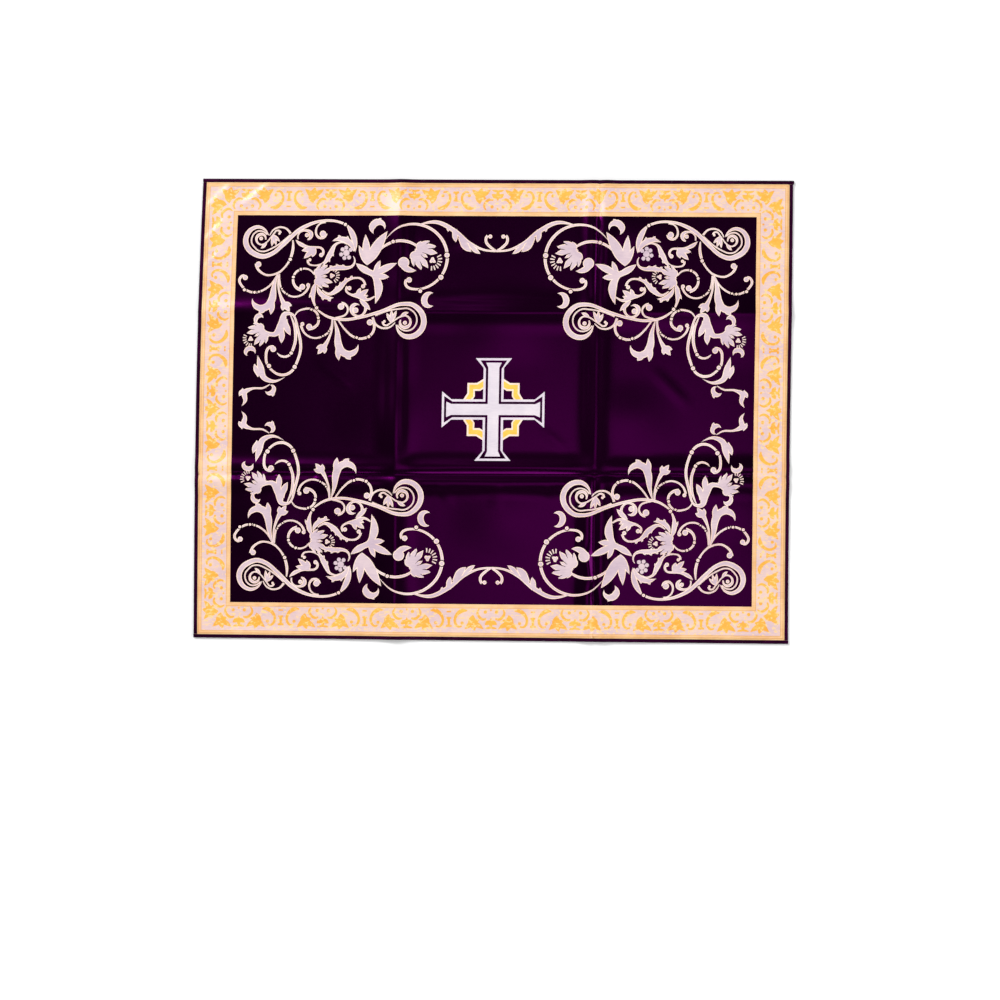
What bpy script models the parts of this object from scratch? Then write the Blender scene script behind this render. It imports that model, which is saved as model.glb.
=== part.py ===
"""An aer, the rectangular cloth that covers the chalice and paten.

One woven panel, whose patterned border is part of its weave, has its edge sewn into four strips
of dark binding. It lies face up on a level surface, opened out from being folded in thirds both
ways. The storage creases stand up as soft ridges or lie as troughs between raised flanks.
Lengths are in metres. The origin is the middle of the cloth on the surface it lies on, +Y is the
top edge and +Z is up. Places on the flat cloth are given as (across, along) from its middle.
"""
import math

import bmesh
import bpy

# Flat size of the whole cloth, binding included
WIDTH = 0.655
HEIGHT = 0.508
HALF_WIDTH = WIDTH / 2
HALF_HEIGHT = HEIGHT / 2

# Thickness of the panel, and the gap kept between pieces
CLOTH = 0.0014
GAP = 0.0003

# Binding: a folded strip whose slot holds the panel's raw edge
STRIP_WIDTH = 0.0040
STRIP_WALL = 0.0007
STRIP_BACK = 0.0010
LIP_ROUND = 0.0004
STRIP_LAP = 0.0008
STRIP_TALL = CLOTH + 2 * GAP + 2 * STRIP_WALL
PANEL_INSET = STRIP_BACK + GAP

# The panel's edge is held up off the surface by the lower wall of the binding
EDGE_LIFT = STRIP_WALL + GAP
LIFT_FULL = 0.005
LIFT_END = 0.016

# How the cloth lies out of square
LEAN = 0.0042
BOW = 0.0016
DRAWN_IN = 0.008
SLANT = 0.00125
SPREAD = 0.0024

# Creases across the cloth and along it. A positive rise is a ridge, a negative one a trough
# between two raised flanks. The three rises are for the three fields that the crease runs through.
UPRIGHT_CREASES = (
    # place, half width, rise in the bottom, middle and top fields
    (-0.107, 0.024, (0.0036, 0.0030, 0.0034)),
    (0.113, 0.022, (-0.0026, 0.0032, -0.0022)),
)
LEVEL_CREASES = (
    # place, half width, rise in the left, middle and right fields
    (-0.072, 0.024, (-0.0024, -0.0028, -0.0022)),
    (0.108, 0.022, (0.0020, 0.0040, 0.0024)),
)
CREST_ROUND = 0.06
FIELD_BLEND = 0.018
PINCH_REACH = 0.030
PINCH_DEPTH = 0.45

# Broad low swells between the creases
SWELL_RISE = 0.0016
SWELL_ACROSS = 0.270
SWELL_ALONG = 0.215
SWELL_START_ACROSS = 0.70
SWELL_START_ALONG = 0.06

# Grid that the panel is built on
CREASE_STEPS = (-1.0, -0.62, -0.33, -0.14, 0.0, 0.14, 0.33, 0.62, 1.0)
EDGE_STEPS = (LIFT_FULL, 0.0085, LIFT_END)
LONGEST_STEP = 0.034

# Colours of the plain model
PANEL_COLOUR = (0.035, 0.004, 0.050, 1.0)
BINDING_COLOUR = (0.010, 0.002, 0.014, 1.0)


def smooth(share):
    """An even S-shaped ramp from 0 to 1."""
    share = min(max(share, 0.0), 1.0)
    return share * share * (3.0 - 2.0 * share)


def lie(across, along):
    """Where a point of the flat cloth lies on the surface."""
    side = across / HALF_WIDTH
    height = along / HALF_HEIGHT
    upper = max(height, 0.0)
    lower = max(-height, 0.0)
    x = across * (1.0 - DRAWN_IN * upper**2) + LEAN * height + BOW * (height**2 - 0.5)
    y = along - side * (SLANT + SPREAD * lower**2)
    return x, y


def ridge(share):
    """Section of a ridge, 1 at its crest and 0 at its foot, steepest beside the crest."""
    share = math.hypot(share, CREST_ROUND) - CREST_ROUND
    return max(1.0 - share, 0.0) ** 2


def trough(share):
    """Section of a trough, 0 at its line and at its foot and 1 on the flanks between."""
    share = abs(share)
    return 6.75 * share * max(1.0 - share, 0.0) ** 2


def field_weights(place, creases):
    """How far a place belongs to each of the three fields that two creases part."""
    low, high = (crease[0] for crease in creases)
    past_low = smooth((place - low) / FIELD_BLEND + 0.5)
    past_high = smooth((place - high) / FIELD_BLEND + 0.5)
    return 1.0 - past_low, past_low - past_high, past_high


def crease_rise(place, run, creases, crossing):
    """Height that a set of parallel creases gives at a place, run being the distance along them."""
    weights = field_weights(run, crossing)
    nearest = min(abs(run - crease[0]) for crease in crossing)
    pinch = 1.0 - PINCH_DEPTH * (1.0 - smooth(nearest / PINCH_REACH))
    total = 0.0
    for middle, half_width, rises in creases:
        share = (place - middle) / half_width
        for weight, rise in zip(weights, rises):
            section = ridge(share) if rise > 0.0 else trough(share)
            total += pinch * weight * abs(rise) * section
    return total


def swell_rise(across, along):
    """Height of the broad swells, zero wherever the cloth lies flat."""
    wave = math.sin(math.tau * (across / SWELL_ACROSS + SWELL_START_ACROSS))
    wave *= math.cos(math.tau * (along / SWELL_ALONG + SWELL_START_ALONG))
    return SWELL_RISE * max(wave, 0.0) ** 2


def rise(across, along):
    """Height of the cloth above the surface, level across the binding's width."""
    across = math.copysign(min(abs(across), HALF_WIDTH - LIFT_FULL), across)
    along = math.copysign(min(abs(along), HALF_HEIGHT - LIFT_FULL), along)
    height = crease_rise(across, along, UPRIGHT_CREASES, LEVEL_CREASES)
    height += crease_rise(along, across, LEVEL_CREASES, UPRIGHT_CREASES)
    return height + swell_rise(across, along)


def edge_lift(across, along):
    """Extra height of the panel near its edge, where the binding's lower wall is under it."""
    inside = min(HALF_WIDTH - abs(across), HALF_HEIGHT - abs(along))
    return EDGE_LIFT * (1.0 - smooth((inside - LIFT_FULL) / (LIFT_END - LIFT_FULL)))


def stations(half_length, creases):
    """Grid places from edge to edge, close together at the creases and at the edges."""
    places = {sign * (half_length - step) for sign in (-1, 1) for step in EDGE_STEPS}
    for middle, half_width, _ in creases:
        places.update(middle + step * half_width for step in CREASE_STEPS)
    places = sorted(places)
    filled = [places[0]]
    for place in places[1:]:
        start = filled[-1]
        parts = max(1, math.ceil((place - start) / LONGEST_STEP))
        filled += [start + (place - start) * part / parts for part in range(1, parts + 1)]
    return filled


ACROSS_STATIONS = stations(HALF_WIDTH, UPRIGHT_CREASES)
ALONG_STATIONS = stations(HALF_HEIGHT, LEVEL_CREASES)


def finished_object(name, shape, material):
    """Closes a bmesh as one solid facing out and makes its object."""
    bmesh.ops.triangulate(shape, faces=shape.faces)
    bmesh.ops.recalc_face_normals(shape, faces=shape.faces)
    mesh = bpy.data.meshes.new(name)
    shape.to_mesh(mesh)
    shape.free()
    mesh.materials.append(material)
    piece = bpy.data.objects.new(name, mesh)
    bpy.context.collection.objects.link(piece)
    return piece


def cloth_material(name, colour, roughness):
    """A Principled material for cloth."""
    material = bpy.data.materials.new(name)
    material.use_nodes = True
    shader = material.node_tree.nodes["Principled BSDF"]
    shader.inputs["Base Color"].default_value = colour
    shader.inputs["Roughness"].default_value = roughness
    shader.inputs["Metallic"].default_value = 0.0
    material.diffuse_color = colour
    return material


def make_panel(material):
    """The woven panel: an upper and a lower skin on the same folds, joined round the edge."""
    edge_across = HALF_WIDTH - PANEL_INSET
    edge_along = HALF_HEIGHT - PANEL_INSET
    columns = [-edge_across] + ACROSS_STATIONS + [edge_across]
    rows = [-edge_along] + ALONG_STATIONS + [edge_along]
    shape = bmesh.new()
    skins = []
    for thickness in (0.0, CLOTH):
        skin = []
        for along in rows:
            line = []
            for across in columns:
                x, y = lie(across, along)
                z = rise(across, along) + edge_lift(across, along) + thickness
                line.append(shape.verts.new((x, y, z)))
            skin.append(line)
        skins.append(skin)
        for lower, upper in zip(skin, skin[1:]):
            for first in range(len(columns) - 1):
                shape.faces.new((lower[first], lower[first + 1], upper[first + 1], upper[first]))
    bottom, top = (edge_ring(skin) for skin in skins)
    for start in range(len(bottom)):
        end = (start + 1) % len(bottom)
        shape.faces.new((bottom[start], bottom[end], top[end], top[start]))
    return finished_object("panel", shape, material)


def edge_ring(skin):
    """The points round the edge of a skin, in order."""
    right = [line[-1] for line in skin]
    left = [line[0] for line in skin]
    return skin[0][:-1] + right[:-1] + skin[-1][:0:-1] + left[:0:-1]


def strip_section():
    """Section of the binding as (distance in from the outer edge, height) points."""
    slot_low = STRIP_WALL
    slot_high = STRIP_TALL - STRIP_WALL
    return (
        (STRIP_WIDTH, slot_low),
        (STRIP_BACK, slot_low),
        (STRIP_BACK, slot_high),
        (STRIP_WIDTH, slot_high),
        (STRIP_WIDTH, STRIP_TALL - LIP_ROUND),
        (STRIP_WIDTH - LIP_ROUND, STRIP_TALL),
        (STRIP_WALL, STRIP_TALL),
        (0.0, slot_high),
        (0.0, slot_low),
        (STRIP_WALL, 0.0),
        (STRIP_WIDTH, 0.0),
    )


# The points of the section that each face of a strip's cut end joins
END_FACES = ((0, 1, 9, 10), (1, 8, 9), (1, 2, 7, 8), (2, 5, 6, 7), (2, 3, 4, 5))


def make_strip(name, runs, place_of, material):
    """A length of binding through the runs along its side, place_of giving (across, along)."""
    shape = bmesh.new()
    rings = []
    for run in runs:
        ring = []
        for inside, height in strip_section():
            across, along = place_of(run, inside)
            x, y = lie(across, along)
            ring.append(shape.verts.new((x, y, rise(across, along) + height)))
        rings.append(ring)
    corners = len(rings[0])
    for near, far in zip(rings, rings[1:]):
        for first in range(corners):
            second = (first + 1) % corners
            shape.faces.new((near[first], near[second], far[second], far[first]))
    for ring in (rings[0], rings[-1]):
        for face in END_FACES:
            shape.faces.new([ring[corner] for corner in face])
    return finished_object(name, shape, material)


def make_binding(material):
    """Four strips: the top and bottom ones run the full width and lap over the side ones."""
    long_runs = [-HALF_WIDTH] + ACROSS_STATIONS + [HALF_WIDTH]
    top_runs = long_runs[:-1] + [HALF_WIDTH + STRIP_LAP]
    side_end = HALF_HEIGHT - STRIP_WIDTH - GAP
    side_runs = [-side_end] + [run for run in ALONG_STATIONS if abs(run) < side_end] + [side_end]
    strips = (
        ("binding_top", top_runs, lambda run, inside: (run, HALF_HEIGHT - inside)),
        ("binding_bottom", long_runs, lambda run, inside: (run, inside - HALF_HEIGHT)),
        ("binding_left", side_runs, lambda run, inside: (inside - HALF_WIDTH, run)),
        ("binding_right", side_runs, lambda run, inside: (HALF_WIDTH - inside, run)),
    )
    for name, runs, place_of in strips:
        make_strip(name, runs, place_of, material)


def clear_scene():
    """Removes the objects that a new Blender scene starts with."""
    for thing in list(bpy.data.objects):
        bpy.data.objects.remove(thing, do_unlink=True)


def main():
    clear_scene()
    make_panel(cloth_material("woven_panel", PANEL_COLOUR, 0.42))
    make_binding(cloth_material("binding_cloth", BINDING_COLOUR, 0.55))


main()
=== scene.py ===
"""Looks of an aer: a jacquard-woven cloth with four strips of binding, lying face up and opened out.

Lengths are in metres, apart from the wrinkles' table. Places on the flat cloth are given as (across,
along) from its middle. The woven pattern is charted in squares of the cloth, for its upper left
quarter, and mirrored to four.
"""
import math
from dataclasses import dataclass, replace

import bmesh
import bpy
import numpy as np
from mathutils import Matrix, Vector
from mathutils.bvhtree import BVHTree
from mathutils.geometry import delaunay_2d_cdt, tessellate_polygon


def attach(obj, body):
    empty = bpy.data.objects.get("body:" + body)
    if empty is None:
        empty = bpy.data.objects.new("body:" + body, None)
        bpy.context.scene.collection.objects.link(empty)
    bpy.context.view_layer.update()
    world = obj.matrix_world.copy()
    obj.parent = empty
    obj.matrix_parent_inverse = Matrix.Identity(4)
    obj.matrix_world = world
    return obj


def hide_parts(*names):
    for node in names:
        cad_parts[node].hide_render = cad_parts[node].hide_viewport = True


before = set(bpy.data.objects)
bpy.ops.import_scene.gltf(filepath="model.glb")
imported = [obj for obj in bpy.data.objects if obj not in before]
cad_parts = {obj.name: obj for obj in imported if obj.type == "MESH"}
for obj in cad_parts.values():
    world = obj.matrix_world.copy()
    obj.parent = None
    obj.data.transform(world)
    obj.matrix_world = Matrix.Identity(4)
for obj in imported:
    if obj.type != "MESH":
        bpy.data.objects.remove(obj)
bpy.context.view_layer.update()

# Flat size of the whole cloth, thickness of the panel, and the gap between pieces
WIDTH = 0.655
HEIGHT = 0.508
HALF_WIDTH = WIDTH / 2
HALF_HEIGHT = HEIGHT / 2
CLOTH = 0.0014
GAP = 0.0003

# Binding
STRIP_WIDTH = 0.0040
STRIP_WALL = 0.0007
STRIP_BACK = 0.0010
LIP_ROUND = 0.0004
STRIP_LAP = 0.0008
STRIP_STEP = 0.004
FOLD_REACH = 0.0013
FOLD_STEPS = 8
SHARP_FROM = math.radians(50)
STRIP_TALL = CLOTH + 2 * GAP + 2 * STRIP_WALL
PANEL_INSET = STRIP_BACK + GAP

# Lift of the panel's edge off the surface
EDGE_LIFT = STRIP_WALL + GAP
LIFT_FULL = 0.005
LIFT_END = 0.016

# How the cloth lies out of square
LEAN = 0.0042
BOW = 0.0016
DRAWN_IN = 0.008
SLANT = 0.00125
SPREAD = 0.0024

# Creases. A positive rise is a ridge, a negative one a trough between two raised flanks.
UPRIGHT_CREASES = (
    # place, half width, rise in the bottom, middle and top fields
    (-0.107, 0.024, (0.0036, 0.0030, 0.0034)),
    (0.113, 0.022, (-0.0026, 0.0032, -0.0022)),
)
LEVEL_CREASES = (
    # place, half width, rise in the left, middle and right fields
    (-0.072, 0.024, (-0.0024, -0.0028, -0.0022)),
    (0.108, 0.022, (0.0020, 0.0040, 0.0024)),
)
CREST_ROUND = 0.06
FIELD_BLEND = 0.018
PINCH_REACH = 0.030
PINCH_DEPTH = 0.45

# Small wrinkles in millimetres: a line from place to place, and its ridge's half width and rise
WRINKLES = (
    (-121, 95, -119, -60, 5, 0.6),
    (-100, 100, -99, -58, 4.5, 0.5),
    (-98, 250, -95, 120, 5, 0.55),
    (100, 250, 101, 118, 5, 0.5),
    (101, 90, 103, -55, 5, 0.6),
    (-85, 121, 95, 119, 4.5, 0.7),
    (-300, 116, -120, 117, 4, 0.35),
    (125, 117, 310, 115, 4, 0.35),
    (-290, -60, -125, -62, 5, 0.45),
    (-80, -61, 100, -63, 5.5, 0.6),
    (-55, -80, -48, -104, 6, 0.4),
    (10, -80, 4, -112, 7, 0.4),
    (60, -82, 68, -100, 5.5, 0.35),
    (96, -135, 120, -215, 7, 1.1),
    (126, -100, 142, -190, 7, 0.8),
    (-130, -120, -118, -180, 6, 0.45),
    (-287, 220, -244, 256, 7, 1.5),
    (-326, 218, -290, 252, 7, 1.4),
    (-330, 178, -296, 212, 6.5, 1.1),
    (-330, 148, -300, 178, 6, 0.8),
    (-330, 113, -255, 113, 3, 0.5),
    (-200, 60, -150, 20, 9, 0.5),
    (170, 50, 220, 0, 9, 0.45),
    (-60, 180, -20, 190, 9, 0.4),
    (50, -20, 85, -45, 8, 0.4),
)
MILLIMETRE = 0.001
WRINKLES_START = 0.006

# Broad low swells between the creases
SWELL_RISE = 0.0016
SWELL_ACROSS = 0.270
SWELL_ALONG = 0.215
SWELL_START_ACROSS = 0.70
SWELL_START_ALONG = 0.06

# Grid of the panel's surface: its step, and the finer step within reach of a crease
GRID_STEP = 0.0060
CREASE_STEP = 0.0028
CREASE_REACH = 0.016
EDGE_STEPS = (LIFT_FULL, 0.0085, 0.012, LIFT_END)

# The woven chart: its square's side, the figures' height, and how far its middle is above the cloth's
SQUARE = 0.0011
RELIEF = 0.00007
CHART_UP = 0.7
RIM = 0.75
RIM_SHARE = 0.6
BEAD_GAP = 1.0
CURVE_STEP = 2.2
CURVE_TURN = math.radians(23)
WINDING_STEP = 32.0
LONGEST_LINE = 2.6
PLACE_DIGITS = 3
FIGURE_WEIGHT = 0.89

# Pitch of the ribs in the yarns, the satin and the binding
YARN_PITCH = 0.0007
SATIN_PITCH = 0.0006
TWILL_PITCH = 0.0008

# Border, from the cloth's edge inwards: where each paint ends, in squares
BORDER = (
    (4.9, "stripe"),
    (5.6, "thread"),
    (7.3, "stripe"),
    (7.9, "thread"),
    (32.2, "border"),
    (32.8, "thread"),
    (36.4, "stripe"),
)
UNIT = 84.2
TOP_UNITS = 4
FIGURES_IN = 1.6
SIDE_PALMETTES = (186.4, 102.4, 17.6)

# Paints drawn over the ground, later ones covering earlier ones, and the yarn that each shows
PAINTS = {
    "gold": "gold",
    "rim": "rim",
    "figure": "figure",
    "gap": "satin",
    "bead rim": "rim",
    "bead": "figure",
    "ring rim": "rim",
    "ring": "yellow",
    "cross rim": "white",
    "cross gap": "satin",
    "cross": "white",
}
LEVELS = {paint: level for level, paint in enumerate(PAINTS)}

# Each yarn's material, darkest and lightest colour on a screen, roughness, gloss and flecks
YARN_LOOKS = {
    "border": ("border_ground", (210, 180, 188), (232, 198, 184), 0.40, 1.0, (246, 206, 140)),
    "stripe": ("stripe_yarn", (228, 172, 112), (242, 198, 146), 0.40, 1.0),
    "thread": ("thread_line", (208, 144, 82), (232, 176, 108), 0.40, 0.8),
    "gold": ("gold_yarn", (240, 160, 40), (252, 186, 70), 0.38, 1.0, (248, 206, 140)),
    "rim": ("rim_yarn", (244, 205, 182), (250, 227, 210), 0.5),
    "figure": ("figure_yarn", (190, 167, 182), (214, 191, 196), 0.5),
    "white": ("cross_white", (208, 197, 208), (224, 213, 220), 0.5),
    "yellow": ("cross_yellow", (236, 178, 60), (246, 202, 90), 0.45),
    "back": ("panel_back", (20, 2, 26), (42, 6, 48), 0.6, 0.2),
}
YARNS = ("satin", *YARN_LOOKS)
RAISED = {"gold", "rim", "figure", "white", "yellow"}

# The floor's reach, and the middle and width of what the camera sees of it
FLOOR_REACH = 4.0
VIEW_MIDDLE = (0.0068, -0.0989)
VIEW_WIDTH = 1.1025


def smooth(share):
    """An even S-shaped ramp from 0 to 1."""
    share = min(max(share, 0.0), 1.0)
    return share * share * (3.0 - 2.0 * share)


def lie(across, along):
    """Where a point of the flat cloth lies on the surface."""
    side = across / HALF_WIDTH
    height = along / HALF_HEIGHT
    upper = max(height, 0.0)
    lower = max(-height, 0.0)
    x = across * (1.0 - DRAWN_IN * upper**2) + LEAN * height + BOW * (height**2 - 0.5)
    y = along - side * (SLANT + SPREAD * lower**2)
    return x, y


def ridge(share):
    """Section of a ridge, 1 at its crest and 0 at its foot, steepest beside the crest."""
    share = math.hypot(share, CREST_ROUND) - CREST_ROUND
    return max(1.0 - share, 0.0) ** 2


def trough(share):
    """Section of a trough, 0 at its line and at its foot and 1 on the flanks between."""
    share = abs(share)
    return 6.75 * share * max(1.0 - share, 0.0) ** 2


def field_weights(place, creases):
    """How far a place belongs to each of the three fields that two creases part."""
    low, high = (crease[0] for crease in creases)
    past_low = smooth((place - low) / FIELD_BLEND + 0.5)
    past_high = smooth((place - high) / FIELD_BLEND + 0.5)
    return 1.0 - past_low, past_low - past_high, past_high


def crease_rise(place, run, creases, crossing):
    """Height that a set of parallel creases gives at a place, run being the distance along them."""
    weights = field_weights(run, crossing)
    nearest = min(abs(run - crease[0]) for crease in crossing)
    pinch = 1.0 - PINCH_DEPTH * (1.0 - smooth(nearest / PINCH_REACH))
    total = 0.0
    for middle, half_width, rises in creases:
        share = (place - middle) / half_width
        for weight, rise in zip(weights, rises):
            section = ridge(share) if rise > 0.0 else trough(share)
            total += pinch * weight * abs(rise) * section
    return total


def swell_rise(across, along):
    """Height of the broad swells, zero wherever the cloth lies flat."""
    wave = math.sin(math.tau * (across / SWELL_ACROSS + SWELL_START_ACROSS))
    wave *= math.cos(math.tau * (along / SWELL_ALONG + SWELL_START_ALONG))
    return SWELL_RISE * max(wave, 0.0) ** 2


def wrinkle_rise(across, along):
    """Height of the small wrinkles, which fade out at their ends and before the cloth's edge."""
    inside = min(HALF_WIDTH - abs(across), HALF_HEIGHT - abs(along))
    total = 0.0
    for x, y, end_x, end_y, half_width, height in WRINKLES:
        length = math.dist((x, y), (end_x, end_y))
        run_x, run_y = (end_x - x) / length, (end_y - y) / length
        from_x, from_y = across / MILLIMETRE - x, along / MILLIMETRE - y
        run = from_x * run_x + from_y * run_y
        off = abs(from_x * run_y - from_y * run_x)
        if off < half_width and 0.0 < run < length:
            fade = smooth(3.0 * run / length) * smooth(3.0 * (length - run) / length)
            total += height * fade * smooth(1.0 - off / half_width)
    return MILLIMETRE * total * smooth(inside / WRINKLES_START - 0.5)


def rise(across, along):
    """Height of the cloth above the surface, level across the binding's width."""
    across = math.copysign(min(abs(across), HALF_WIDTH - LIFT_FULL), across)
    along = math.copysign(min(abs(along), HALF_HEIGHT - LIFT_FULL), along)
    height = crease_rise(across, along, UPRIGHT_CREASES, LEVEL_CREASES)
    height += crease_rise(along, across, LEVEL_CREASES, UPRIGHT_CREASES)
    return height + swell_rise(across, along)


def edge_lift(across, along):
    """Extra height of the panel near its edge, where the binding's lower wall is under it."""
    inside = min(HALF_WIDTH - abs(across), HALF_HEIGHT - abs(along))
    return EDGE_LIFT * (1.0 - smooth((inside - LIFT_FULL) / (LIFT_END - LIFT_FULL)))


def smooth_curve(points):
    """Points (x, y, width) close together on a smooth curve through the given ones."""
    points = np.array(points, float)
    spans = np.maximum(np.linalg.norm(np.diff(points[:, :2], axis=0), axis=1), 1e-6)[:, None]
    steps = np.diff(points, axis=0) / spans
    slopes = np.vstack((steps[:1], steps))
    if len(points) > 2:
        slopes[1:-1] = (steps[:-1] * spans[1:] + steps[1:] * spans[:-1]) / (spans[:-1] + spans[1:])
        slopes[0] = 1.5 * steps[0] - 0.5 * slopes[1]
        slopes[-1] = 1.5 * steps[-1] - 0.5 * slopes[-2]
    turns = np.diff(np.arctan2(slopes[:, 1], slopes[:, 0]))
    curve = []
    for a, b, slope_a, slope_b, (span,), turn in zip(points, points[1:], slopes, slopes[1:], spans, turns):
        turn = abs(math.remainder(turn, math.tau))
        parts = max(2, math.ceil(span / CURVE_STEP), math.ceil(turn / CURVE_TURN))
        for share in np.arange(parts) / parts:
            back = 1.0 - share
            point = a * back * back * (1 + 2 * share) + b * share * share * (3 - 2 * share)
            point += span * share * back * (slope_a * back - slope_b * share)
            curve.append(point)
    curve.append(points[-1])
    return [(x, y, max(width, 0.0)) for x, y, width in curve]


def sections(curve):
    """Each point of a curve with its half width and its unit normal to the left."""
    for index, (x, y, width) in enumerate(curve):
        before = curve[max(index - 1, 0)]
        after = curve[min(index + 1, len(curve) - 1)]
        run = math.dist(before[:2], after[:2]) or 1e-6
        yield x, y, width / 2, (before[1] - after[1]) / run, (after[0] - before[0]) / run


def polar(x, y, angle, reach):
    """The place at a reach from another, in a direction given in degrees."""
    turn = math.radians(angle)
    return x + reach * math.cos(turn), y + reach * math.sin(turn)


def arc(x, y, end_x, end_y, bend, widths):
    """Points (x, y, width) along an arc between two places that turns left by bend degrees."""
    bend = math.radians(bend) or 1e-6
    first = math.atan2(end_y - y, end_x - x) - bend / 2
    radius = math.dist((x, y), (end_x, end_y)) / (2 * math.sin(bend / 2))
    rows = []
    for step, width in enumerate(widths):
        now = first + bend * step / (len(widths) - 1)
        across = radius * (math.sin(now) - math.sin(first))
        along = radius * (math.cos(first) - math.cos(now))
        rows.append((x + across, y + along, width))
    return rows


def winding(x, y, first, sweep, reaches, widths):
    """Points (x, y, width) round a middle, from a first angle by a sweep in degrees.

    Reaches and widths are each spread evenly over the sweep.
    """
    steps = math.ceil(abs(sweep) / WINDING_STEP)
    rows = []
    for step in range(steps + 1):
        share = step / steps
        place = polar(x, y, first + sweep * share, spread(reaches, share))
        rows.append((*place, spread(widths, share)))
    return rows


def spread(values, share):
    """The value at a share of a run over which some values are spread evenly."""
    return float(np.interp(share, np.linspace(0.0, 1.0, len(values)), values))


class Chart:
    """What is woven into one quarter: painted triangles and the lines that bound them."""

    def __init__(self):
        self.corners = []
        self.paints = []
        self.lines = []

    def triangle(self, paint, points):
        """Paints a triangle over what has a lower level."""
        self.corners += [(x, y, float(LEVELS[paint])) for x, y in points]
        self.paints.append(paint)

    def lane(self, paint, one, two):
        """Paints the strip between two lines that have as many points."""
        for a, b, c, d in zip(one, two, two[1:], one[1:]):
            self.triangle(paint, (a, b, c))
            self.triangle(paint, (a, c, d))

    def patch(self, paint, outline):
        """Paints a polygon."""
        for corners in tessellate_polygon([[Vector((x, y, 0.0)) for x, y in outline]]):
            self.triangle(paint, [outline[corner] for corner in corners])
        self.lines.append(outline + outline[:1])

    def finder(self):
        """Looks from above for the paint at a place in the quarter."""
        triangles = [(first, first + 1, first + 2) for first in range(0, len(self.corners), 3)]
        tree = BVHTree.FromPolygons(self.corners, triangles, epsilon=0.0)
        down = Vector((0.0, 0.0, -1.0))
        above = len(LEVELS) + 1.0

        def paint_at(x, y):
            found = tree.ray_cast(Vector((x, y, above)), down)[2]
            return None if found is None else self.paints[found]

        return paint_at


@dataclass
class Pen:
    """Draws forms on the chart, placed by a shift, a turn in degrees, a size and a flip.

    Its weight is the share of a form's width that it draws.
    """

    chart: Chart
    x: float = 0.0
    y: float = 0.0
    turn: float = 0.0
    size: float = 1.0
    flip: int = 1
    rim: str = "rim"
    fill: str = "figure"
    weight: float = FIGURE_WEIGHT

    def placed(self, x, y, turn=0.0, size=1.0, flip=1):
        """A pen of the same paints with its own placing on the chart."""
        return replace(self, x=x, y=y, turn=turn, size=size, flip=flip)

    def cutter(self):
        """A pen of the same placing that lays the ground back over a form."""
        return replace(self, rim=None, fill="gap")

    def place(self, x, y, width=0.0):
        """A point of the form as a point of the chart."""
        x *= self.size * self.flip
        y *= self.size
        turn = math.radians(self.turn)
        cos, sin = math.cos(turn), math.sin(turn)
        return x * cos - y * sin + self.x, x * sin + y * cos + self.y, width * self.size * self.weight

    def ribbon(self, *points):
        """A band of changing width along a smooth curve through points (x, y, width)."""
        curve = smooth_curve([self.place(*point) for point in points])
        spine = [(x, y) for x, y, _ in curve]
        for side in (1, -1):
            outer = []
            inner = []
            for x, y, half, normal_x, normal_y in sections(curve):
                rim = min(RIM, RIM_SHARE * half) if self.rim else 0.0
                outer.append((x + side * half * normal_x, y + side * half * normal_y))
                inner.append((x + side * (half - rim) * normal_x, y + side * (half - rim) * normal_y))
            self.chart.lane(self.fill, spine, inner)
            self.chart.lines.append(outer)
            if self.rim:
                self.chart.lane(self.rim, inner, outer)
                self.chart.lines.append(inner)
        return curve

    def ball(self, x, y, radius):
        """A round form."""
        x, y, radius = self.place(x, y, radius)
        sides = 8 + int(2 * radius)
        angles = [360 * step / sides for step in range(sides + 1)]
        outer = inner = [polar(x, y, angle, radius) for angle in angles]
        self.chart.lines.append(outer)
        if self.rim:
            inner = [polar(x, y, angle, radius - min(RIM, RIM_SHARE * radius)) for angle in angles]
            self.chart.lane(self.rim, inner, outer)
            self.chart.lines.append(inner)
        self.chart.lane(self.fill, [(x, y)] * len(inner), inner)

    def beads(self, *places):
        """Round beads (x, y, radius), parted from their stem by the ground."""
        for x, y, radius in places:
            self.cutter().ball(x, y, radius + BEAD_GAP)
            replace(self, rim="bead rim", fill="bead").ball(x, y, radius)

    def leaf(self, x, y, tip_x, tip_y, width, bend=0.0, foot=0.4):
        """A leaf or petal from its foot to its tip, turning left by bend degrees on the way."""
        widths = [share * width for share in (foot, 0.86, 1.0, 0.72, 0.0)]
        return self.ribbon(*arc(x, y, tip_x, tip_y, bend, widths))

    def teeth(self, curve, side, count, reach, first=0.3, last=0.65):
        """Leaf tips along one side of a curve that a ribbon has drawn, 1 being its left."""
        loose = self.placed(0, 0)
        spots = list(sections(curve))
        for step in range(count):
            share = first + (last - first) * step / max(count - 1, 1)
            x, y, half, normal_x, normal_y = spots[round(share * (len(spots) - 1))]
            out = side * (half + 0.45 * reach)
            tip_x = x + out * normal_x + 0.9 * reach * normal_y
            tip_y = y + out * normal_y - 0.9 * reach * normal_x
            loose.leaf(x, y, tip_x, tip_y, 1.1 * reach)


def lily(pen):
    """A hanging leaf that broadens and turns up into a hook, with two more tips."""
    hook = winding(-15.5, -24.5, -15, -165, (10, 10, 9.5), (8.5, 8, 6, 0))
    pen.ribbon((-0.5, -0.5, 1), (-3.5, -11, 4.5), *hook)
    pen.leaf(-5, -26, -6, -41, 6.5, bend=-15, foot=1)
    pen.leaf(-11, -33, -18, -40, 6.5, foot=1)


def bell(pen):
    """A small flower of three tips on a thin stem."""
    pen.ribbon((0, -1, 1.5), (0, -12, 1.9), (3, -23, 3.2), (7, -31, 6))
    for tip in ((14.5, -32), (12.5, -38), (5.5, -37)):
        pen.leaf(6, -29, *tip, 5.5)


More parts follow.
